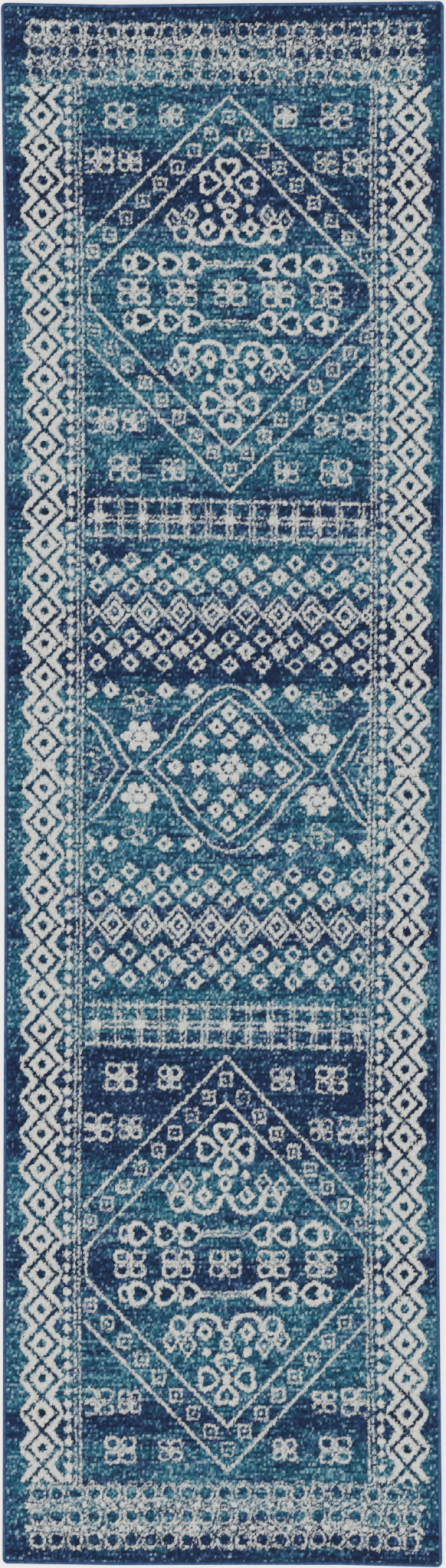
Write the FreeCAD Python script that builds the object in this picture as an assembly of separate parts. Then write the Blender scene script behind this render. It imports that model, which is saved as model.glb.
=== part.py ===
"""Runner rug: a woven ground with a cut pile, sized at the back and overcast with yarn all round.

The rug lies flat. X runs across its width, Y along its length and Z up from the floor. The
origin is on the floor under the middle of the rug. Every size is in millimetres.
"""

import FreeCAD, Part
import math
import os

# Driving dimensions
LENGTH = 2438.0  # a nominal 8 ft
WIDTH = 686.0  # a nominal 2 ft 3 in
CORNER_RADIUS = 9.0

BACK_SIZE = 0.5  # thickness of the dried size on the underside
GROUND = 2.0  # thickness of the woven ground, warp and weft together
PILE = 7.0  # height of the cut pile above the ground

SERGING_WIDTH = 5.5  # how far the overcasting reaches in from the edge
SERGING_HEIGHT = 7.2
SERGING_TOP_ROUND = 2.8
SERGING_FOOT_ROUND = 1.6
GROUND_INSET = 3.0  # the cut edge of the ground stops this far inside the yarn

CORE_RADIUS = 0.9  # the cord that the yarn is wrapped round
CORE_INSET = 1.75
CORE_HEIGHT = 1.6

BAND_LENGTH = 130.0  # each end band of the design, measured from the end of the rug
BORDER_WIDTH = 117.0  # each side border of the design, measured from the side of the rug

# Heights that follow from the thicknesses
GROUND_BOTTOM = BACK_SIZE
GROUND_TOP = GROUND_BOTTOM + GROUND
PILE_TOP = GROUND_TOP + PILE

UP = FreeCAD.Vector(0, 0, 1)
HALF_WIDTH = WIDTH / 2
HALF_LENGTH = LENGTH / 2


def point(x, y, z=0.0):
    return FreeCAD.Vector(x, y, z)


def save(name, shape):
    """Writes one sub-part to its own file and says how large it is."""
    shape.exportStep("parts/" + name + ".step")
    box = shape.BoundBox
    print(f"{name}: {box.XLength:.1f} x {box.YLength:.1f} x {box.ZLength:.1f} mm, valid {shape.isValid()}")


def rounded_plate(inset, bottom, top):
    """The rug's outline, drawn in by inset all round, as a plate between two heights."""
    x = HALF_WIDTH - inset
    y = HALF_LENGTH - inset
    r = CORNER_RADIUS - inset
    corners = [(x, y, 0), (-x, y, 90), (-x, -y, 180), (x, -y, 270)]
    edges = []
    arcs = []
    for cx, cy, first_angle in corners:
        centre = point(cx - math.copysign(r, cx), cy - math.copysign(r, cy), bottom)
        arcs.append(Part.makeCircle(r, centre, UP, first_angle, first_angle + 90))
    for arc, following in zip(arcs, arcs[1:] + arcs[:1]):
        edges.append(arc)
        edges.append(Part.makeLine(arc.Vertexes[-1].Point, following.Vertexes[0].Point))
    return Part.Face(Part.Wire(edges)).extrude(UP * (top - bottom))


def serging_section(edge_x, y, with_core_hole):
    """The overcast yarn cut across, at the side of the rug where X is edge_x, in a plane of constant Y."""

    def at(inward, height):
        return point(edge_x - math.copysign(inward, edge_x), y, height)

    def arc(start, middle, end):
        return Part.Arc(at(*start), at(*middle), at(*end)).toShape()

    def line(start, end):
        return Part.makeLine(at(*start), at(*end))

    w = SERGING_WIDTH
    h = SERGING_HEIGHT
    foot = SERGING_FOOT_ROUND
    top = SERGING_TOP_ROUND
    bow = 1 - math.sqrt(0.5)  # how far the middle of a quarter arc lies from each tangent, per unit radius
    edges = [
        line((w, 0), (foot, 0)),
        arc((foot, 0), (foot * bow, foot * bow), (0, foot)),
        line((0, foot), (0, h - top)),
        arc((0, h - top), (top * bow, h - top * bow), (top, h)),
        line((top, h), (w, h)),
        line((w, h), (w, GROUND_TOP)),
        line((w, GROUND_TOP), (GROUND_INSET, GROUND_TOP)),
        line((GROUND_INSET, GROUND_TOP), (GROUND_INSET, GROUND_BOTTOM)),
        line((GROUND_INSET, GROUND_BOTTOM), (w, GROUND_BOTTOM)),
        line((w, GROUND_BOTTOM), (w, 0)),
    ]
    section = Part.Face(Part.Wire(edges))
    if with_core_hole:
        ring = Part.makeCircle(CORE_RADIUS, at(CORE_INSET, CORE_HEIGHT), point(0, 1))
        section = section.cut(Part.Face(Part.Wire([ring])))
    return section


def straight_serging(run):
    """One straight length of overcasting along the side at +X, centred on Y = 0."""
    section = serging_section(HALF_WIDTH, -run / 2, with_core_hole=True)
    return section.extrude(point(0, run))


def corner_serging():
    """The overcasting round the corner at +X and +Y."""
    section = serging_section(HALF_WIDTH, HALF_LENGTH - CORNER_RADIUS, with_core_hole=False)
    centre = point(HALF_WIDTH - CORNER_RADIUS, HALF_LENGTH - CORNER_RADIUS)
    return section.revolve(centre, UP, 90)


def edge_core(run):
    """The cord inside one straight length of overcasting along the side at +X."""
    start = point(HALF_WIDTH - CORE_INSET, -run / 2, CORE_HEIGHT)
    return Part.makeCylinder(CORE_RADIUS, run, start, point(0, 1))


def to_far_end(shape):
    """Turns a length made for the side at +X so that it lies along the end at +Y."""
    turned = shape.rotated(point(0, 0), UP, 90)
    return turned.translated(point(0, HALF_LENGTH - HALF_WIDTH))


def half_turn(shape):
    return shape.rotated(point(0, 0), UP, 180)


def mirrored(shape):
    return shape.mirror(point(0, 0), point(1, 0))


def pile_areas():
    """The cut pile, divided where the design of the rug divides it."""
    pile = rounded_plate(SERGING_WIDTH, GROUND_TOP, PILE_TOP)
    inner_y = HALF_LENGTH - BAND_LENGTH
    inner_x = HALF_WIDTH - BORDER_WIDTH

    def area(x0, x1, y0, y1):
        return pile.common(Part.makeBox(x1 - x0, y1 - y0, PILE, point(x0, y0, GROUND_TOP)))

    return {
        "far_band_pile": area(-HALF_WIDTH, HALF_WIDTH, inner_y, HALF_LENGTH),
        "near_band_pile": area(-HALF_WIDTH, HALF_WIDTH, -HALF_LENGTH, -inner_y),
        "left_border_pile": area(-HALF_WIDTH, -inner_x, -inner_y, inner_y),
        "right_border_pile": area(inner_x, HALF_WIDTH, -inner_y, inner_y),
        "field_pile": area(-inner_x, inner_x, -inner_y, inner_y),
    }


def serging_pieces():
    side = straight_serging(LENGTH - 2 * CORNER_RADIUS)
    end = to_far_end(straight_serging(WIDTH - 2 * CORNER_RADIUS))
    corner = corner_serging()
    return {
        "right_serging": side,
        "left_serging": half_turn(side),
        "far_serging": end,
        "near_serging": half_turn(end),
        "far_right_corner": corner,
        "near_left_corner": half_turn(corner),
        "far_left_corner": mirrored(corner),
        "near_right_corner": half_turn(mirrored(corner)),
    }


def edge_cores():
    side = edge_core(LENGTH - 2 * CORNER_RADIUS)
    end = to_far_end(edge_core(WIDTH - 2 * CORNER_RADIUS))
    return {
        "right_edge_cord": side,
        "left_edge_cord": half_turn(side),
        "far_edge_cord": end,
        "near_edge_cord": half_turn(end),
    }


def main():
    os.makedirs("parts", exist_ok=True)
    pieces = {
        "back_size": rounded_plate(SERGING_WIDTH, 0.0, GROUND_BOTTOM),
        "woven_ground": rounded_plate(GROUND_INSET, GROUND_BOTTOM, GROUND_TOP),
    }
    pieces.update(pile_areas())
    pieces.update(serging_pieces())
    pieces.update(edge_cores())
    for name, shape in pieces.items():
        save(name, shape)


main()
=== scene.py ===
# %% [markdown]
# # A low-pile runner rug, tuft by tuft
#
# The CAD model gives us the cloth as flat slabs: a thin back coating, a woven ground, seven
# areas of pile and a bound edge. Here we turn them into yarn. The plan is:
#
# 1. lay one lattice of tufts over the whole rug, so neighbouring areas share their edge;
# 2. draw the pattern as distances in millimetres and let every tuft look up its own colour;
# 3. wrap the edge in thread, and weave the ground that everything stands on.
#
# We note the size before we touch anything.

import math

import bpy
import numpy as np
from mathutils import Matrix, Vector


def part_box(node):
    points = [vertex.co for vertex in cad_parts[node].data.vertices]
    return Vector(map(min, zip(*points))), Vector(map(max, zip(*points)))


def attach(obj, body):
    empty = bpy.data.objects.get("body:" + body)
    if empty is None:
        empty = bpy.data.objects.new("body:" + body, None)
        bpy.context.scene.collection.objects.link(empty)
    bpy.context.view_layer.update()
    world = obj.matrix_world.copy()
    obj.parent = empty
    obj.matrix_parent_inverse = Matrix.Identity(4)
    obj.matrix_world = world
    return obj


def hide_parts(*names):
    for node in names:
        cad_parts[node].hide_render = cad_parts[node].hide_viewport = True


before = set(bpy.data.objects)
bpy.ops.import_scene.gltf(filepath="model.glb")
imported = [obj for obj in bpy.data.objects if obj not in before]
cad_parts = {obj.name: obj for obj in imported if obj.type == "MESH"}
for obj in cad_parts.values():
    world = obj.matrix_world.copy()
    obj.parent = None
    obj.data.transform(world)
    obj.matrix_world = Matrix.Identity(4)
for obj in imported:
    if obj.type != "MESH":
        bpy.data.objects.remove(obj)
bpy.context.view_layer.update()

# %% [markdown]
# ## Sizes
#
# All lengths below are in millimetres and are turned into metres at the last moment. Tufts
# are about 3 mm wide and the weft rows about 3.76 mm apart, so the number of tufts in each
# area follows from its CAD box. `spread` rounds it to a whole number of tufts. The pile turns
# each corner of the rug on a radius of `CORNER_INSET`.

# %% Measure the pile areas
MM = 0.001
TUFT_WIDE, ROW_DEEP = 3.0, 3.76
CELLS = 2
CORNER_INSET = 3.5


def box_mm(node):
    lo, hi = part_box(node)
    return np.array(lo) / MM, np.array(hi) / MM


field_lo, field_hi = box_mm("field_pile")
band_lo, band_hi = box_mm("far_band_pile")
edge_lo, edge_hi = box_mm("right_serging")
ground_lo, ground_hi = box_mm("woven_ground")
HALF_FIELD = float(field_hi[0])
HALF_PILE = float(band_hi[0])
BAND_START = float(band_lo[1])
PILE_END = float(band_hi[1])
PILE_FOOT, PILE_TOP = float(field_lo[2]), float(field_hi[2])


def spread(length, pitch):
    return max(1, round(length / pitch))


border_tufts = spread(HALF_PILE - HALF_FIELD, TUFT_WIDE)
field_tufts = spread(HALF_FIELD, TUFT_WIDE)
band_rows = spread(PILE_END - BAND_START, ROW_DEEP)
quarter_rows = spread(BAND_START / 2, ROW_DEEP)
print("tufts across:", 2 * (border_tufts + field_tufts))
print("rows along:", 2 * band_rows + 4 * quarter_rows)

# %% [markdown]
# ## One lattice for the whole pile
#
# Each tuft gets 2 x 2 cells: a raised middle and low borders. The lattice lines come from
# joining the areas end to end, which keeps every seam between two areas exactly on a line.

# %% Lay out the lattice lines
def cells_between(stops, counts):
    lines = [np.linspace(a, b, n * CELLS + 1)[:-1] for a, b, n in zip(stops, stops[1:], counts)]
    return np.append(np.concatenate(lines), stops[-1])


x_stops = [-HALF_PILE, -HALF_FIELD, 0.0, HALF_FIELD, HALF_PILE]
x_counts = [border_tufts, field_tufts, field_tufts, border_tufts]
y_stops = [-PILE_END, -BAND_START, -BAND_START / 2, 0.0, BAND_START / 2, BAND_START, PILE_END]
y_counts = [band_rows] + [quarter_rows] * 4 + [band_rows]
x_lines = cells_between(x_stops, x_counts)
y_lines = cells_between(y_stops, y_counts)
x_cut = np.cumsum([0] + x_counts) * CELLS
y_cut = np.cumsum([0] + y_counts) * CELLS
GX, GY = np.meshgrid(x_lines, y_lines)
shape = GX.shape
tufts = (shape[0] // CELLS, shape[1] // CELLS)
print("lattice points:", shape, "tufts:", tufts)

# %% [markdown]
# ## How the cloth lies
#
# A soft runner is never a perfect rectangle. Its sides wander by two or three millimetres
# and it rises a little off the floor here and there. `lie` moves a point sideways and
# `rise` says how far the cloth is lifted. Everything on the rug uses the same two functions,
# so pile, binding and ground stay together. The ends bow as well, over their last
# `BOW_OVER` millimetres.

# %% Describe the lie of the cloth
NOMINAL_HALF = 343
BOW_FROM, BOW_OVER = 900, 300
LIE_AT = [-1219, -690, -210, 270, 745, 1219]
LIE_SHIFT = [-1, -3, -0.5, 1, 2, -1]
LIE_HALF = [343.5, 340.5, 341, 342, 343.5, 346]
END_AT = [-325, -170, 0, 180, 335]
FAR_BOW = [1.5, -1.5, 0.5, 2, 4]
NEAR_BOW = [-1, 1.5, 1, 1, 4.5]


def lie(x, y):
    half = np.interp(y, LIE_AT, LIE_HALF)
    shift = np.interp(y, LIE_AT, LIE_SHIFT)
    far = np.interp(x, END_AT, FAR_BOW) * np.clip((y - BOW_FROM) / BOW_OVER, 0, 1)
    near = np.interp(x, END_AT, NEAR_BOW) * np.clip((-y - BOW_FROM) / BOW_OVER, 0, 1)
    return x * half / NOMINAL_HALF + shift, y + far - near


def rise(x, y):
    wave = np.sin(x / 95 + 1.1) * np.sin(y / 173 + 0.4) + 0.6 * np.sin(y / 61 - x / 140)
    return 0.22 * (1.6 + wave)


lift = rise(GX, GY)
print("lift of the cloth, mm:", round(float(lift.min()), 2), "to", round(float(lift.max()), 2))

# %% [markdown]
# ## Drawing tools
#
# A motif is a distance. Each function returns how far a tuft is outside a shape (negative
# inside), and `stroke` turns that into a line of a given width. `draw` keeps the deepest
# value, so motifs simply pile up, and `rub` takes ivory away again. `NOWHERE` is the depth of
# a tuft that no motif reaches.
#
# The coordinates are shaken by about a millimetre first, tuft by tuft. That gives the ragged
# edges of a woven pattern. `per_tuft` makes such a noise: one value for each tuft, handed to
# the lattice points that belong to it.

# %% Make the drawing tools
rng = np.random.default_rng(20)


def grow(values):
    cells = np.repeat(np.repeat(values, CELLS, axis=0), CELLS, axis=1)
    return np.pad(cells, ((0, 1), (0, 1)), mode="edge")


def per_tuft(size):
    return grow(rng.normal(0, size, tufts))


def stroke(gap, width):
    return width / 2 - np.abs(gap)


def lozenge(u, v, a, b):
    return (np.abs(u) / a + np.abs(v) / b - 1) * a * b / math.hypot(a, b)


def oval(u, v, a, b):
    return (np.hypot(u / a, v / b) - 1) * (a + b) / 2


def block(u, v, a, b):
    return np.maximum(np.abs(u) - a, np.abs(v) - b)


def heart(out, side, long, wide):
    q = np.abs(side / wide)
    return (np.hypot(q, out / long - 0.72 * np.sqrt(q) + 0.37) - 1) * (long + wide) / 2


def trail(u, v, points, width):
    best = np.full(u.shape, 999.0)
    for (ax, ay), (bx, by) in zip(points, points[1:]):
        dx, dy = bx - ax, by - ay
        t = np.clip(((u - ax) * dx + (v - ay) * dy) / (dx * dx + dy * dy), 0, 1)
        best = np.minimum(best, np.hypot(u - ax - t * dx, v - ay - t * dy))
    return width / 2 - best


NOWHERE = -9.0
ivory = np.full(shape, NOWHERE)
deep = np.full(shape, NOWHERE)


def draw(depth, where=True):
    np.maximum(ivory, np.where(where, depth, NOWHERE), out=ivory)


def rub(depth, where=True):
    cut = np.where(where, depth, NOWHERE)
    np.minimum(ivory, -cut, out=ivory)
    np.maximum(deep, cut, out=deep)


# %% [markdown]
# ## Where a tuft sits in the pattern
#
# The pattern is the same either way up, but the loom beat one half tighter than the other,
# let the rows run a little out of square and let the pattern drift by a few millimetres. We
# undo all of that to get design coordinates: `x` from the axis of the field, `y` from the
# middle of the pattern, both in nominal millimetres. The borders drift less than the field.
# Since the pattern is mirrored, most motifs use their absolute values, `X` and `Y`, and the
# borders use `B`, which counts from the borders' own axis.

# %% Turn tuft positions into design coordinates
FIELD_AXIS, BORDER_AXIS, BAND_AXIS = 8.7, 4.3, 2.8
FIELD_SIDE, BORDER_START = 222, 221
BAND_FOOT, BAND_HEAD = 1087.6, 1192
MEDALLION_MIDDLE = 759
DESIGN_MIDDLE = 23.0
LOOM_AT = [-1100, -800, -500, -200, -100, 80, 400, 650, 970, 1150]
FIELD_DRIFT = [0, 3, 3.5, 9, 7.5, 0, -1, -1, 1, -1]
EDGE_DRIFT = [-2, 1, 2, 3, 3, 1, 1, 1, 5, 0.5]
SWAY = [1, -2, -2, -1, -0.5, 0.5, 1, 1, -1, 0.5]
SKEW = [0, 1, -14, -19, -19, -18, -20, -24, -10, -7]


def along_loom(values):
    return np.interp(GY, LOOM_AT, values)


rough_x = GX + per_tuft(0.85) + rng.normal(0, 0.5, shape) - along_loom(SWAY)
rough_y = GY + per_tuft(0.85) + rng.normal(0, 0.5, shape)
x = rough_x - FIELD_AXIS
B = np.abs(rough_x - BORDER_AXIS)
drift = np.where(B > BORDER_START, along_loom(EDGE_DRIFT), along_loom(FIELD_DRIFT))
y = rough_y - DESIGN_MIDDLE - drift - along_loom(SKEW) * x / 1000
TIGHT_HALF, LOOSE_HALF = 0.979, 1.021
y = np.where(y > 0, y / TIGHT_HALF, y / LOOSE_HALF)
X, Y = np.abs(x), np.abs(y)
print("pattern runs from", round(float(y.min())), "to", round(float(y.max())), "mm")

# %% [markdown]
# ## The chain borders
#
# Each border is a zigzag-edged ivory chain. A dark lattice line turns it into a row of
# diamonds, each with a dark heart. Beside it runs a column of ivory beads and two thin,
# broken lines.

# %% Draw the borders
in_border = (Y < BAND_FOOT) & (B > BORDER_START)
u = B - 285
step = 52.67
count = np.maximum(np.round((Y - 35.5) / step), 0)
v = Y - 35.5 - step * count
bulge = np.clip((0.5 - np.abs(v) / step) * 2.6, 0, 1)
outline = np.where(u > 0, 18.0 + 16.0 * bulge, 18.0 + 15.0 * bulge)
draw(outline - np.abs(u), in_border)
draw(12 - np.abs(u), in_border & (Y < 12))
rub(stroke(lozenge(u, v, 24, 26.3), 5.2), in_border)
rub(3.4 - np.hypot(u, np.abs(v) - 26.3), in_border)
rub(stroke(lozenge(u, Y, 24, 16), 4.2), in_border & (Y < 9) & (np.abs(u) < 14))
rub(-oval(u, v, 6.6, 7.0), in_border)
rub(-lozenge(np.abs(u) - 25.5, v, 3.6, 5.4), in_border)
beads = (Y + 4) % 18.9 - 9.45
draw(-lozenge(B - 244.5, beads, 7.6, 8.6), in_border)
gaps = np.sin(Y / 2.3) + 0.8 * np.sin(Y / 1.4 + 2)
draw(stroke(B - 232.6, 3.4) - 0.9 * (gaps > 0.5), in_border)
draw(stroke(B - 225.4, 3.4) - 0.9 * (gaps < -0.5), in_border)
print("ivory so far:", round(float((ivory > 0).mean()), 3))

# %% [markdown]
# ## The end bands
#
# Three rows of twenty-one rings fill each end. A net of small ivory dots links the rows.

# %% Draw the end bands
ex = rough_x - BAND_AXIS
in_band = (Y > BAND_FOOT) & (np.abs(ex) < 320) & (Y < BAND_HEAD)
ring_u = ex - 29.1 * np.clip(np.round(ex / 29.1), -10, 10)
half_u = ex - 29.1 * (np.clip(np.round(ex / 29.1 - 0.5), -11, 10) + 0.5)
for row in (1105.9, 1141.3, 1176.7):
    draw(stroke(oval(ring_u, Y - row, 11.0, 11.4), 3.4), in_band)
    net = [(14.55, 7), (8, 14), (0, 17.7)]
    draw(trail(np.abs(ring_u), np.abs(Y - row), net, 2.0), in_band & (np.abs(Y - row) < 17.8))
for row in (1123.6, 1159.0):
    draw(-oval(half_u, Y - row, 5.2, 4.8), in_band)
print("ivory so far:", round(float((ivory > 0).mean()), 3))

# %% [markdown]
# ## The long medallions
#
# Each half of the field holds one long diamond drawn with two lines. Nine small squares
# climb between them, and flower squares fill the corners left over.

# %% Draw the medallion outlines and the flower squares
in_field = (X < FIELD_SIDE) & (Y < 1082)
V = np.abs(Y - MEDALLION_MIDDLE)
draw(stroke(lozenge(X, V, 307, 314), 4.9), in_field)
draw(stroke(lozenge(X, V, 241, 247), 4.9), in_field)
draw(stroke(X - 219, 4.4), in_field & (V < 18))
k = np.clip(np.round(X / 26.6), 0, 8)
du, dv = X - 26.6 * k, V - (280.7 - 27.2 * k)
draw(stroke(block(du, dv, 8.8, 8.8), 3.5), in_field)
draw(2.9 - np.hypot(du, dv), in_field)


def flower_square(u, v, wide, high, line, where=in_field):
    a, b = wide / 4, high / 4
    petal = oval(np.abs(u) - a, np.abs(v) - b, a - line / 2, b - line / 2)
    square = block(np.abs(u) - a, np.abs(v) - b, a - line / 2, b - line / 2)
    draw(stroke(0.6 * petal + 0.4 * square, line), where)
    draw(line * 0.9 - np.hypot(u, v), where)


for cy, small, big in ((1041, 89, 167.5), (968, 152, 202.5), (553, 150, 201), (477, 88.5, 165)):
    flower_square(X - small, Y - cy, 37, 34, 3.7)
    flower_square(X - big, Y - cy, 50, 42, 4.2)
for cy in (1041, 477):
    flower_square(X - 246, Y - cy, 50, 42, 4.2)
print("ivory so far:", round(float((ivory > 0).mean()), 3))

# %% [markdown]
# ## Inside the long medallions
#
# From the middle outwards: five flower squares, a row of rings tied by a bar, a crown of
# arches, and a flower of four hearts.

# %% Draw what the medallions hold
in_diamond = lozenge(X, V, 241, 247) < -4
for cx in (0, 75, 150):
    flower_square(X - cx, V, 50, 42, 4.6, in_diamond)
for cx in (56, 93.6, 135):
    u, v = X - cx, V - 45.5
    draw(stroke(heart(u, v, 14.0, 15.5), 7.6), in_diamond & (V > 22))
    rub(-heart(u, v, 9.5, 10.5), in_diamond & (V > 22))
draw(stroke(oval(X - 158, V - 45.5, 7.5, 10.5), 6), in_diamond)
draw(stroke(V - 43.5, 3.2), X < 39)
draw(stroke(V - 49.0 - 5 * np.clip(1 - X / 7, 0, 1), 3.2), X < 37)
arch = stroke(oval(X - 33, V - 97, 24, 19), 8.2)
draw(arch, (V < 103) & (V > 60))
draw(trail(X, V, [(11, 96), (0, 106)], 7), V > 60)
draw(stroke(oval(X, V - 122, 7.6, 8.6), 6), V > 60)
draw(-lozenge(X - 33, V - 104, 14.5, 16), V > 60)
rub(-lozenge(X - 33, V - 104, 5.2, 5.6), V > 60)
draw(6.6 - np.hypot(X - 32, V - 135), V > 60)
draw(stroke(oval(X - 73, V - 94, 12.5, 12.5), 6), (V > 60) & (V < 108))
for cx, cy in ((87, 116), (60, 124)):
    draw(stroke(lozenge(X - cx, V - cy, 12, 16), 4.6), V > 60)
    draw(2.6 - np.hypot(X - cx, V - cy), V > 60)
W = V - 175
draw(stroke(heart(np.abs(W) - 24, X, 12.0, 15.5), 7.6), (np.abs(W) < 42) & (X < 30) & (V > 60))
draw(stroke(heart(X - 29, W, 13.0, 15.5), 7.6), (np.abs(W) < 30) & (X > 8) & (V > 60))
draw(7.5 - np.hypot(X, W), V > 60)
print("ivory so far:", round(float((ivory > 0).mean()), 3))

# %% [markdown]
# ## The plaid band and the lattice rows
#
# A plaid of double lines crosses the field. Below it come rows of small diamonds, set half
# a step apart, with one row of large nested diamonds between them.

# %% Draw the plaid and the diamonds
in_plaid = (X < FIELD_SIDE) & (Y > 361) & (Y < 433)
teeth = np.abs((X + 8.55) % 17.1 - 8.55)
draw(stroke(Y - 427.6 + 2.5 * np.clip(1 - teeth / 4, 0, 1), 3.7), in_plaid)
draw(stroke(Y - 369.6 - 2.5 * np.clip(1 - teeth / 4, 0, 1), 3.7), in_plaid)
for line in (402.4, 393.6):
    draw(stroke(Y - line, 3.3), in_plaid)
pair = (X + 17.1) % 34.2 - 17.1
draw(stroke(np.abs(pair) - 3.6, 3.0), in_plaid)
blot = (X + 34.2) % 68.4 - 34.2
draw(-lozenge(blot, Y - 398, 11, 9.5), in_plaid)
corner = lozenge(np.abs(pair) - 17.1, np.minimum(np.abs(Y - 427.6), np.abs(Y - 369.6)), 5, 6)
draw(-corner - 0.8, in_plaid)


def diamond_row(row, half_step, filled):
    u = (x + 25.75 - 25.75 * half_step) % 51.5 - 25.75
    v = Y - row
    inside = X < 221
    draw(stroke(lozenge(u, v, 11.2, 11.2), 6.2 if filled else 5.4), inside)
    draw(-lozenge(u, v, 8, 8), inside & filled)
    rub(2.6 - np.hypot(u, v), inside & filled)


for row, half_step, filled in ((330.8, 0, False), (308.3, 1, True), (289.3, 0, False)):
    diamond_row(row, half_step, filled)
    diamond_row(497.7 - row, half_step, filled)
u, v = (x + 51.5) % 51.5 - 25.75, Y - 248.5
big_row = (X < FIELD_SIDE) & (np.abs(v) < 33)
draw(stroke(lozenge(u, v, 25.0, 29.5), 4.6), big_row)
draw(stroke(lozenge(u, v, 13.0, 14.5), 6.2), big_row)
draw(2.2 - np.hypot(u, v), big_row)
print("ivory so far:", round(float((ivory > 0).mean()), 3))

# %% [markdown]
# ## The centre of the rug
#
# A double-lined medallion with small diamonds and a star in it, two more stars and an open
# flower at each side, and a wing against either border.

# %% Draw the centre medallion, the stars and the wings
centre = (X < FIELD_SIDE) & (Y < 140)
for cx in (-220, -185, -100, -55.6, 55, 98, 180.5, 217.5):
    draw(-lozenge(x - cx, Y - 123.3, 15.5, 14.5), centre)
    rub(2.9 - np.hypot(x - cx, Y - 123.3), centre)
outer = [(139, 0), (110, 27), (87, 54), (79, 73), (48, 104), (26, 126), (0, 134)]
inner = [(115, 0), (96, 21), (79, 33), (63, 57), (36, 89), (14, 104), (0, 115)]
draw(trail(X, Y, outer, 4.6), centre)
draw(trail(X, Y, inner, 4.2), centre)
for cx, cy in ((0, 89), (19.7, 67.5), (45, 44.5), (0, 44.5), (84, 0), (48.5, 0)):
    draw(-lozenge(X - cx, Y - cy, 14.2, 14.2), centre)
    rub(2.7 - np.hypot(X - cx, Y - cy), centre)


def star(u, v):
    petals = [oval(np.abs(u) - 19, v, 10.5, 7.6)]
    petals.append(oval(np.abs(u) - 9.6, np.abs(v) - 15, 7.6, 8.8))
    petals.append(oval(u, v, 19, 15))
    draw(-np.minimum.reduce(petals), centre)
    turn = np.arctan2(v, u)
    rub(stroke(oval(u, v, 10.5, 9.5), 3.6) - 1.4 * (np.cos(8 * turn) > 0.3), centre)


star(x, y)
star(X - 140, Y - 50)


def open_flower(u, v):
    for a, b in ((15, 0), (-15, 0), (0, 12), (0, -12)):
        ring = stroke(oval(u - a, v - b, 10, 7.6), 3.0)
        draw(ring, centre & (lozenge(u, v, 9, 8) > 0))
    draw(stroke(oval(u, v, 4.6, 4.2), 2.6), centre)


open_flower(X - 140, Y - 106)
wing_out = [(228, 97), (202, 77), (185, 56), (174.5, 35), (153, 0)]
wing_in = [(228, 80), (207, 60), (193, 28), (174, 0)]
draw(trail(X, Y, wing_out, 4.4), centre)
draw(trail(X, Y, wing_in, 4.0), centre)
draw(trail(X, Y, [(222, 34), (204, 28), (200, 14), (212, 8), (204, 0)], 3.2) - 0.3, centre)
draw(5 - np.hypot(X - 216, Y - 18), centre)
print("ivory in all:", round(float((ivory > 0).mean()), 3))

# %% [markdown]
# ## The heathered ground
#
# The blue ground is a melange of navy and teal. Long horizontal streaks come from blurring
# noise along the rows. On top of that, whole stretches of rows lean towards navy (below
# zero) or teal (above zero), as happens when a dyer changes batches: navy at each place in
# the list, fading to teal over `FADE` millimetres wherever the next navy band is far enough
# away. Each colour is a ramp of stops, from the darkest fibre to the palest speck.

# %% Mix the ground colour
def blur(values, across, along):
    for axis, reach in ((1, across), (0, along)):
        window = np.hanning(2 * reach + 3)[1:-1]
        values = np.apply_along_axis(lambda r: np.convolve(r, window, "same"), axis, values)
    return values / values.std()


NAVY_AT = [-1180, -1000, -760, -570, -485, -430, -235, 170, 255, 430, 890, 970, 1150, 1215]
FADE = 48
TO_NAVY, TO_TEAL = -1.15, 1.0
bands = []
for here, ahead in zip(NAVY_AT, NAVY_AT[1:]):
    bands.append((here, TO_NAVY))
    if ahead - here > 2 * FADE:
        bands += [(here + FADE, TO_TEAL), (ahead - FADE, TO_TEAL)]
bands.append((NAVY_AT[-1], TO_NAVY))
lean = np.interp(GY, [b[0] for b in bands], [b[1] for b in bands])
lean = lean[:-1:CELLS, :-1:CELLS]


def noise(across, along):
    return blur(rng.normal(size=tufts), across, along)


teal_share = 0.8 * lean + 0.58 * noise(20, 1) + 0.45 * noise(7, 0) + 0.38 * noise(22, 6)
teal_share += 0.32 * rng.normal(size=tufts)
light = 0.3 * lean + 0.35 * noise(16, 0) + 0.3 * noise(3, 0) + 0.6 * rng.normal(size=tufts)
PALE_SHARE = 0.12
light += 1.6 * (rng.random(tufts) < PALE_SHARE) - 0.25
teal_share, light = grow(teal_share), grow(light) + rng.normal(0, 0.25, shape)


def linear(r, g, b):
    c = np.array([r, g, b]) / 255
    return np.where(c < 0.04045, c / 12.92, ((c + 0.055) / 1.055) ** 2.4)


def ramp(value, stops):
    at = [s[0] for s in stops]
    rgb = np.array([linear(*s[1]) for s in stops])
    return np.stack([np.interp(value, at, rgb[:, i]) for i in range(3)], axis=-1)


NAVY = [(-2, (6, 13, 38)), (-0.6, (14, 25, 58)), (0.5, (30, 45, 83))]
NAVY += [(1.5, (71, 91, 121)), (2.8, (130, 148, 160))]
TEAL = [(-2, (6, 26, 46)), (-0.6, (15, 47, 71)), (0.5, (36, 82, 101))]
TEAL += [(1.5, (77, 127, 141)), (2.8, (134, 167, 171))]
dark_wish = np.clip(deep / 3 + 0.5, 0, 1)
tone = light - 0.9 * dark_wish
share = 1 / (1 + np.exp(-2.6 * (teal_share - 0.15)))[..., None]
ground = ramp(tone, NAVY) * (1 - share) + ramp(tone, TEAL) * share
print("mean ground, linear:", ground.mean(axis=(0, 1)).round(3))
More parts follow.
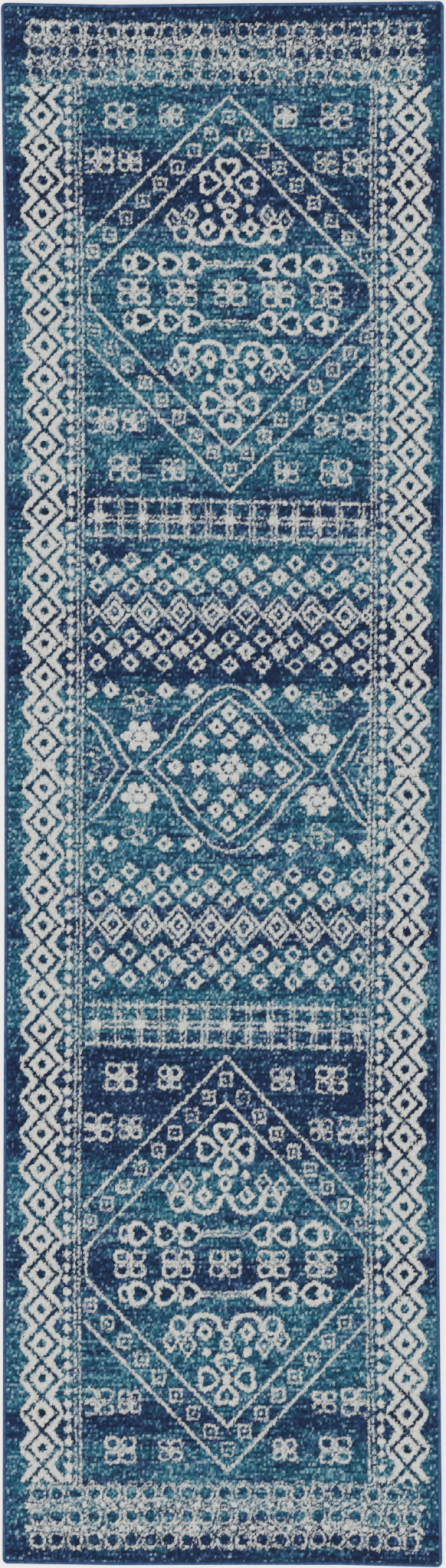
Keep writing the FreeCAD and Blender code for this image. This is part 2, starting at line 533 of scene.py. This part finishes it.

# %% [markdown]
# ## Lay ivory over the ground
#
# A tuft at the edge of a motif holds both yarns, so the two colours blend over about one
# tuft. Noise makes the ivory worn and ragged, most of all in the end bands. Each ivory tuft
# is a little lighter or warmer than the next. Shade is painted into the colour as well: the
# middle of each tuft is painted lighter and the gaps between tufts darker.

# %% Give every tuft its yarn
IVORY = [(-2.4, (142, 166, 170)), (-1, (200, 208, 200))]
IVORY += [(0, (226, 225, 213)), (2, (246, 243, 229))]
frayed = np.where(Y > BAND_FOOT, 1.3, 1.0)
wear = per_tuft(0.24) * frayed + rng.normal(0, 0.14, shape) - 0.10 * grow(noise(8, 3))
BLEND_OVER = 2.4
cover = np.clip(ivory / BLEND_OVER + 0.18 + wear, 0, 1)
cover = cover * cover * (3 - 2 * cover)
cream = ramp(per_tuft(0.75) + rng.normal(0, 0.55, shape), IVORY)
yarn = ground * (1 - cover[..., None]) + cream * cover[..., None]
mid_x = (np.arange(shape[1]) % CELLS == 1)[None, :]
mid_y = (np.arange(shape[0]) % CELLS == 1)[:, None]
# Painted light and shade: the middle of each tuft is painted lighter and the gaps between tufts
# darker, standing in for shade between the tufts.
painted_gap_shade = np.where(mid_x & mid_y, 1.10, np.where(mid_x | mid_y, 0.97, 0.84))
yarn = yarn * painted_gap_shade[..., None]
print("share of ivory:", round(float(cover.mean()), 3))

# %% [markdown]
# ## Shape the tufts
#
# The middle of a tuft stands up and its borders sink. Each tuft also has its own height and
# leans its own way. The pile rolls down beside the binding and is drawn in round the four
# corners. Shaping the whole lattice at once means that a lattice line shared by two areas
# has the same shape in both.

# %% Raise the lattice
SIDE_DIP, ROW_DIP, CORNER_DIP = -0.75, -0.95, -1.25
bump = np.where(mid_x, np.where(mid_y, 0.0, ROW_DIP), np.where(mid_y, SIDE_DIP, CORNER_DIP))
own = per_tuft(0.22)
beside = own + np.roll(own, 1, 1)
own_mean = (beside + np.roll(beside, 1, 0)) / 4
to_edge = np.minimum(HALF_PILE - np.abs(GX), PILE_END - np.abs(GY))
roll_down = 2.3 * np.clip(1 - to_edge / 6.5, 0, 1) ** 2
wander_x = rng.normal(0, 0.3, shape)
wander_y = rng.normal(0, 0.35, shape)
inside = (to_edge > 0.1).astype(float)
PX = GX + wander_x * inside
PY = GY + wander_y * inside
turn_x, turn_y = HALF_PILE - CORNER_INSET, PILE_END - CORNER_INSET
past_x, past_y = np.abs(PX) - turn_x, np.abs(PY) - turn_y
in_corner = (past_x > 0) & (past_y > 0)
reach = np.hypot(past_x, past_y)
outside = in_corner & (reach > CORNER_INSET)
pull = np.where(outside, CORNER_INSET / np.maximum(reach, 1e-6), 1.0)
PX = np.sign(PX) * (turn_x + past_x * pull)
PY = np.sign(PY) * (turn_y + past_y * pull)
LX, LY = lie(PX, PY)
LZ = PILE_TOP - 0.35 + bump + own_mean - roll_down + lift
print("pile height, mm:", round(float(LZ.min()), 2), "to", round(float(LZ.max()), 2))

# %% [markdown]
# ## Materials
#
# Every material reads Object coordinates or the yarn colour stored on the points, so nothing
# changes with the camera. Each one is built up in layers, and every layer tints the colour
# and adds to the height that the bump is made from:
#
# - a fine noise for the fibres, in all of them;
# - rounded cells about as big as yarn ends (`shaded_knot_scale`), in the pile, with painted
#   shade: lighter in the middle of each cell and darker where the cells meet;
# - two sets of threads that cross, with their pitches in millimetres (`weave`), in the ground,
#   with painted shade in the dips between the threads.
#
# `fibre_material` takes two colours (none for the pile, which has its own yarn), the scale of
# the fibres, their darkest and lightest tint, the bump in metres, the roughness and the sheen.

# %% Write the materials
def node(tree, kind, **settings):
    made = tree.nodes.new(kind)
    for name, value in settings.items():
        setattr(made, name, value)
    return made


def add_layer(tree, layers, tint, relief):
    colour, height = layers
    darker = node(tree, "ShaderNodeVectorMath", operation="MULTIPLY")
    tree.links.new(colour, darker.inputs[0])
    tree.links.new(tint, darker.inputs[1])
    both = node(tree, "ShaderNodeMath", operation="ADD")
    tree.links.new(height, both.inputs[0])
    tree.links.new(relief, both.inputs[1])
    return darker.outputs["Vector"], both.outputs["Value"]


def fibre_material(name, base, scale, low, high, bump_size, rough, sheen, shaded_knot_scale=None, weave=None):
    material = bpy.data.materials.new(name)
    material.use_nodes = True
    tree = material.node_tree
    shader = tree.nodes["Principled BSDF"]
    shader.inputs["Roughness"].default_value = rough
    shader.inputs["Sheen Weight"].default_value = sheen
    shader.inputs["Sheen Roughness"].default_value = 0.5
    shader.inputs["Specular IOR Level"].default_value = 0.2
    where = node(tree, "ShaderNodeTexCoord")
    fibre = node(tree, "ShaderNodeTexNoise")
    fibre.inputs["Scale"].default_value = scale
    fibre.inputs["Detail"].default_value = 4.0
    tree.links.new(where.outputs["Object"], fibre.inputs["Vector"])
    spread_out = node(tree, "ShaderNodeMapRange")
    spread_out.inputs["From Min"].default_value = 0.3
    spread_out.inputs["From Max"].default_value = 0.7
    spread_out.inputs["To Min"].default_value = low
    spread_out.inputs["To Max"].default_value = high
    tree.links.new(fibre.outputs["Fac"], spread_out.inputs["Value"])
    tint = node(tree, "ShaderNodeVectorMath", operation="MULTIPLY")
    tree.links.new(spread_out.outputs["Result"], tint.inputs[1])
    if base is None:
        source = node(tree, "ShaderNodeAttribute", attribute_name="yarn")
        tree.links.new(source.outputs["Color"], tint.inputs[0])
    else:
        broad = node(tree, "ShaderNodeTexNoise")
        broad.inputs["Scale"].default_value = scale / 12
        tree.links.new(where.outputs["Object"], broad.inputs["Vector"])
        colours = node(tree, "ShaderNodeValToRGB")
        colours.color_ramp.elements[0].position = 0.35
        colours.color_ramp.elements[1].position = 0.65
        colours.color_ramp.elements[0].color = (*linear(*base[0]), 1)
        colours.color_ramp.elements[1].color = (*linear(*base[1]), 1)
        tree.links.new(broad.outputs["Fac"], colours.inputs["Fac"])
        tree.links.new(colours.outputs["Color"], tint.inputs[0])
    layers = (tint.outputs["Vector"], fibre.outputs["Fac"])
    if shaded_knot_scale:
        knots = node(tree, "ShaderNodeTexVoronoi")
        knots.inputs["Scale"].default_value = shaded_knot_scale
        knots.inputs["Randomness"].default_value = 0.85
        tree.links.new(where.outputs["Object"], knots.inputs["Vector"])
        # Painted shade: each rounded cell is painted lighter in its middle and darker towards its
        # edge, where yarn ends meet; the same value also shapes the bump.
        painted_shade_and_bump = node(tree, "ShaderNodeMapRange")
        painted_shade_and_bump.inputs["From Min"].default_value = 0.1
        painted_shade_and_bump.inputs["From Max"].default_value = 0.75
        painted_shade_and_bump.inputs["To Min"].default_value = 1.1
        painted_shade_and_bump.inputs["To Max"].default_value = 0.72
        tree.links.new(knots.outputs["Distance"], painted_shade_and_bump.inputs["Value"])
        layers = add_layer(tree, layers, painted_shade_and_bump.outputs["Result"], painted_shade_and_bump.outputs["Result"])
    for direction, pitch in zip("XY", weave or ()):
        thread = node(tree, "ShaderNodeTexWave", wave_type="BANDS", bands_direction=direction)
        thread.inputs["Scale"].default_value = 2 * math.pi / (20 * pitch * MM)
        thread.inputs["Distortion"].default_value = 0.7
        tree.links.new(where.outputs["Object"], thread.inputs["Vector"])
        # Painted shade: this tint darkens the colour in the dips between the threads.
        depth = node(tree, "ShaderNodeMapRange")
        depth.inputs["To Min"].default_value = 0.62
        depth.inputs["To Max"].default_value = 1.12
        tree.links.new(thread.outputs["Fac"], depth.inputs["Value"])
        layers = add_layer(tree, layers, depth.outputs["Result"], thread.outputs["Fac"])
    colour, height = layers
    tree.links.new(colour, shader.inputs["Base Color"])
    relief = node(tree, "ShaderNodeBump")
    relief.inputs["Strength"].default_value = 0.8
    relief.inputs["Distance"].default_value = bump_size
    tree.links.new(height, relief.inputs["Height"])
    tree.links.new(relief.outputs["Normal"], shader.inputs["Normal"])
    return material


BLUE = ((27, 44, 80), (41, 63, 102))
JUTE = ((150, 130, 98), (178, 160, 128))
COTTON = ((150, 138, 112), (184, 172, 146))
pile_yarn = fibre_material("pile_yarn", None, 1300, 0.74, 1.26, 0.0009, 0.95, 0.08, shaded_knot_scale=430)
edge_thread = fibre_material("edge_thread", BLUE, 1400, 0.8, 1.2, 0.0003, 0.7, 0.1)
ground_weave = fibre_material("ground_weave", JUTE, 700, 0.8, 1.15, 0.0006, 0.9, 0.0, weave=(3.0, 5.0))
cord_fibre = fibre_material("cord_fibre", COTTON, 1800, 0.75, 1.2, 0.0003, 0.85, 0.0)
print("materials:", len(bpy.data.materials))

# %% [markdown]
# ## A closed blanket from a grid
#
# `blanket` is the one modelling recipe we use for cloth. It adds a grid primitive, moves
# its points to a surface we computed, then uses edit mode to pull the border down (or up) to
# a flat level and fill the hole. The result is one closed shell. It also returns the row and
# column that each grid point came from, so that colours can follow.

# %% Write the blanket recipe
def blanket(name, px, py, pz, close_at):
    tall, wide = px.shape
    bpy.ops.object.select_all(action="DESELECT")
    bpy.ops.mesh.primitive_grid_add(x_subdivisions=wide - 1, y_subdivisions=tall - 1, size=1)
    piece = bpy.context.object
    piece.name = name
    mesh = piece.data
    mesh.name = name
    co = np.zeros(len(mesh.vertices) * 3)
    mesh.vertices.foreach_get("co", co)
    co = co.reshape(-1, 3)
    i = np.rint((co[:, 0] + 0.5) * (wide - 1)).astype(int)
    j = np.rint((co[:, 1] + 0.5) * (tall - 1)).astype(int)
    placed = np.stack([px[j, i], py[j, i], pz[j, i]], axis=1) * MM
    mesh.vertices.foreach_set("co", placed.ravel())
    mesh.update()
    level = close_at * MM
    bpy.ops.object.mode_set(mode="EDIT")
    bpy.ops.mesh.select_mode(type="EDGE")
    bpy.ops.mesh.select_all(action="SELECT")
    bpy.ops.mesh.region_to_loop()
    bpy.ops.mesh.extrude_edges_move(TRANSFORM_OT_translate={"value": (0, 0, 0)})
    bpy.ops.transform.resize(value=(1, 1, 0), center_override=(0, 0, level))
    bpy.ops.mesh.edge_face_add()
    bpy.ops.mesh.select_all(action="SELECT")
    bpy.ops.mesh.normals_make_consistent(inside=False)
    bpy.ops.object.mode_set(mode="OBJECT")
    bpy.ops.object.shade_smooth_by_angle(angle=math.radians(66))
    return piece, i, j


# %% [markdown]
# ## Make the pile
#
# The field is cut into eight areas and each border into four, so that no piece is too heavy.
# Every piece takes its own slice of the lattice and of the yarn colours.

# %% Cut the lattice into pile pieces
def pile_piece(name, cad_node, column, row, last_column=None):
    last_column = column if last_column is None else last_column
    x0, x1 = x_cut[column], x_cut[last_column + 1]
    y0, y1 = y_cut[row], y_cut[row + 1]
    part = (slice(y0, y1 + 1), slice(x0, x1 + 1))
    piece, i, j = blanket(name, LX[part], LY[part], LZ[part], PILE_FOOT)
    colour = np.ones((len(piece.data.vertices), 4))
    colour[:, :3] = yarn.mean(axis=(0, 1))
    colour[: len(i), :3] = yarn[y0 + j, x0 + i]
    layer = piece.data.attributes.new("yarn", "FLOAT_COLOR", "POINT")
    layer.data.foreach_set("color", colour.ravel())
    piece.data.materials.append(pile_yarn)
    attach(piece, "root")
    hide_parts(cad_node)
    return piece


pile = [pile_piece("near_band_tufts", "near_band_pile", 0, 0, 3)]
pile.append(pile_piece("far_band_tufts", "far_band_pile", 0, 5, 3))
for quarter in range(4):
    pile.append(pile_piece(f"left_border_tufts_{quarter}", "left_border_pile", 0, quarter + 1))
    pile.append(pile_piece(f"field_tufts_left_{quarter}", "field_pile", 1, quarter + 1))
    pile.append(pile_piece(f"field_tufts_right_{quarter}", "field_pile", 2, quarter + 1))
    pile.append(pile_piece(f"right_border_tufts_{quarter}", "right_border_pile", 3, quarter + 1))
print("pile pieces:", len(pile), "faces:", sum(len(p.data.polygons) for p in pile))

# %% [markdown]
# ## Wrap the edge
#
# Binding and cord are both tubes that follow the edge, so they share one recipe. `tube`
# rolls up a grid: `place` says where a point goes from its share of the length, `t`, and its
# angle round the tube. `remove_doubles` sews the tube shut along its length and two filled
# holes close its ends.

# %% Write the tube recipe
edge_width = float(edge_hi[0] - edge_lo[0])
edge_height = float(edge_hi[2])


def tube(name, cad_node, steps, around, place):
    bpy.ops.object.select_all(action="DESELECT")
    bpy.ops.mesh.primitive_grid_add(x_subdivisions=steps, y_subdivisions=around, size=1)
    piece = bpy.context.object
    piece.name = name
    mesh = piece.data
    mesh.name = name
    co = np.zeros(len(mesh.vertices) * 3)
    mesh.vertices.foreach_get("co", co)
    co = co.reshape(-1, 3)
    turn_at = np.rint((co[:, 1] + 0.5) * around) % around / around
    wx, wy, z = place(co[:, 0] + 0.5, 2 * math.pi * turn_at)
    lx, ly = lie(wx, wy)
    z = np.maximum(z, 0.05) + rise(wx, wy) * np.clip(z / edge_height, 0, 1)
    mesh.vertices.foreach_set("co", (np.stack([lx, ly, z], axis=1) * MM).ravel())
    mesh.update()
    bpy.ops.object.mode_set(mode="EDIT")
    bpy.ops.mesh.select_all(action="SELECT")
    bpy.ops.mesh.remove_doubles(threshold=0.00001)
    bpy.ops.mesh.select_all(action="SELECT")
    bpy.ops.mesh.fill_holes(sides=0)
    bpy.ops.mesh.select_all(action="SELECT")
    bpy.ops.mesh.normals_make_consistent(inside=False)
    bpy.ops.object.mode_set(mode="OBJECT")
    bpy.ops.object.shade_smooth_by_angle(angle=math.radians(50))
    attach(piece, "root")
    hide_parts(cad_node)
    return piece


print("edge section, mm:", round(edge_width, 2), "x", round(edge_height, 2))

# %% [markdown]
# The binding is thread wound round and round the edge. Its section is a rounded box that
# swells in each wrap and tightens between two, and the wraps lean a little. Four straight
# runs and four quarter turns go right round the rug. The corner turns share one centre each,
# a few millimetres in from the corner of the pile.

# %% Bind the four sides and the four corners
WRAP, STEPS, AROUND = 2.4, 3, 12
SQUARED = 0.75


def binding(name, cad_node, start, along, out, length, turn=0.0):
    wraps = max(2, round(length / WRAP))

    def place(t, angle):
        wrap = (t * wraps) % 1.0
        wrap = np.where((t < 1e-6) | (t > 1 - 1e-6), 0.0, wrap)
        swell = 0.90 + 0.13 * np.sin(math.pi * wrap)
        outward, upward = np.cos(angle), np.sin(angle)
        across = np.sign(outward) * np.abs(outward) ** SQUARED * swell
        s = edge_width * 0.47 + (edge_width * 0.53 + 0.25) * across
        z = edge_height / 2 * (1 + np.sign(upward) * np.abs(upward) ** SQUARED * swell)
        if turn:
            swing = turn * t
            reach = CORNER_INSET + s
            ox = out[0] * np.cos(swing) - out[1] * np.sin(swing)
            oy = out[0] * np.sin(swing) + out[1] * np.cos(swing)
            return start[0] + ox * reach, start[1] + oy * reach, z
        slant = 0.8 * np.sin(angle) * np.clip(t * wraps, 0, 1) * np.clip((1 - t) * wraps, 0, 1)
        run = t * length + slant
        return start[0] + along[0] * run + out[0] * s, start[1] + along[1] * run + out[1] * s, z

    piece = tube(name, cad_node, wraps * STEPS, AROUND, place)
    piece.data.materials.append(edge_thread)
    return piece


CX, CY = HALF_PILE - CORNER_INSET, PILE_END - CORNER_INSET
quarter_turn = math.pi / 2
arc = quarter_turn * (CORNER_INSET + edge_width)
edge = [
    binding("right_binding", "right_serging", (HALF_PILE, -CY), (0, 1), (1, 0), 2 * CY),
    binding("left_binding", "left_serging", (-HALF_PILE, CY), (0, -1), (-1, 0), 2 * CY),
    binding("far_binding", "far_serging", (CX, PILE_END), (-1, 0), (0, 1), 2 * CX),
    binding("near_binding", "near_serging", (-CX, -PILE_END), (1, 0), (0, -1), 2 * CX),
    binding("far_right_turn", "far_right_corner", (CX, CY), None, (1, 0), arc, quarter_turn),
    binding("far_left_turn", "far_left_corner", (-CX, CY), None, (0, 1), arc, quarter_turn),
    binding("near_left_turn", "near_left_corner", (-CX, -CY), None, (-1, 0), arc, quarter_turn),
    binding("near_right_turn", "near_right_corner", (CX, -CY), None, (0, -1), arc, quarter_turn),
]
print("binding pieces:", len(edge), "faces:", sum(len(p.data.polygons) for p in edge))

# %% [markdown]
# ## The cords inside the binding
#
# A cord runs inside each straight side. Its section and its length come from the CAD, and it
# follows the same wandering edge as the binding, so that it stays hidden.

# %% Lay the four cords
cord_lo, cord_hi = box_mm("right_edge_cord")
_, end_cord_hi = box_mm("far_edge_cord")
CORD_RADIUS = float(cord_hi[0] - cord_lo[0]) / 2
CORD_OUT = float(cord_hi[0] + cord_lo[0]) / 2 - HALF_PILE
CORD_UP = float(cord_hi[2] + cord_lo[2]) / 2
CORD_STEP = 12


def edge_cord(name, cad_node, start, along, out, length):
    def place(t, angle):
        s = CORD_OUT + CORD_RADIUS * np.cos(angle)
        z = CORD_UP + CORD_RADIUS * np.sin(angle)
        run = t * length
        return start[0] + along[0] * run + out[0] * s, start[1] + along[1] * run + out[1] * s, z

    piece = tube(name, cad_node, round(length / CORD_STEP), 10, place)
    piece.data.materials.append(cord_fibre)
    return piece


side, end = float(cord_hi[1]), float(end_cord_hi[0])
cords = [
    edge_cord("right_cord", "right_edge_cord", (HALF_PILE, -side), (0, 1), (1, 0), 2 * side),
    edge_cord("left_cord", "left_edge_cord", (-HALF_PILE, side), (0, -1), (-1, 0), 2 * side),
    edge_cord("far_cord", "far_edge_cord", (end, PILE_END), (-1, 0), (0, 1), 2 * end),
    edge_cord("near_cord", "near_edge_cord", (-end, -PILE_END), (1, 0), (0, -1), 2 * end),
]
print("cords:", len(cords), "radius, mm:", round(CORD_RADIUS, 2), "set out by", round(CORD_OUT, 2))

# %% [markdown]
# ## Weave the ground
#
# The ground is the real cloth. Its underside shows weft ribs every five millimetres, crossed
# by the shallower dips of the warp.

# %% Make the woven ground
RIB = 5.0
ribs = round((ground_hi[1] - ground_lo[1]) / RIB)
wx = np.linspace(ground_lo[0], ground_hi[0], 73)
wy = np.linspace(ground_lo[1], ground_hi[1], ribs * 2 + 1)
UX, UY = np.meshgrid(wx, wy)
rib = (np.arange(len(wy)) % 2)[:, None] * 0.32
warp = (np.arange(len(wx)) % 2)[None, :] * 0.14
edge_gap = np.minimum(ground_hi[0] - np.abs(UX), ground_hi[1] - np.abs(UY))
UZ = (rib + warp) * np.clip(edge_gap / 2, 0, 1)
SX, SY = lie(UX, UY)
ground_piece, _, _ = blanket("ground_cloth", SX, SY, UZ, float(ground_hi[2]))
ground_piece.data.materials.append(ground_weave)
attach(ground_piece, "root")
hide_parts("woven_ground", "back_size")
print("ground faces:", len(ground_piece.data.polygons))

# %% [markdown]
# ## Floor, light and camera
#
# The rug is seen from straight above on a pale floor. Broad, soft light comes mostly from
# above, with a little more from the far left so that the tufts cast faint shade.

# %% Set the stage
bpy.ops.object.select_all(action="DESELECT")
bpy.ops.mesh.primitive_plane_add(size=160, location=(0, 0, -0.0003))
floor = bpy.context.object
floor.name = "floor"
floor_paint = bpy.data.materials.new("floor_paint")
floor_paint.use_nodes = True
floor_shader = floor_paint.node_tree.nodes["Principled BSDF"]
floor_shader.inputs["Base Color"].default_value = (0.93, 0.93, 0.93, 1)
floor_shader.inputs["Roughness"].default_value = 0.9
floor_shader.inputs["Emission Color"].default_value = (1, 1, 1, 1)
floor_shader.inputs["Emission Strength"].default_value = 2.6
floor.data.materials.append(floor_paint)

world = bpy.data.worlds.new("studio")
bpy.context.scene.world = world
world.use_nodes = True
world.node_tree.nodes["Background"].inputs["Color"].default_value = (1, 1, 1, 1)
world.node_tree.nodes["Background"].inputs["Strength"].default_value = 1.02

for name, power, tip, swing in (("key", 4.2, 52, -35), ("fill", 1.0, 35, 140)):
    bpy.ops.object.light_add(type="SUN", location=(0, 0, 3))
    lamp = bpy.context.object
    lamp.name = name
    lamp.data.energy = power
    lamp.data.angle = math.radians(30)
    lamp.rotation_euler = (math.radians(tip), 0, math.radians(swing))

LENS, SENSOR, SEEN = 100.0, 36.0, 2.447
bpy.ops.object.camera_add(location=(0, 0, 0.0095 + SEEN * LENS / SENSOR), rotation=(0, 0, 0))
camera = bpy.context.object
camera.data.lens = LENS
camera.data.sensor_width = SENSOR
camera.data.clip_end = 200
bpy.context.scene.camera = camera
print("camera height, m:", round(camera.location.z, 3))
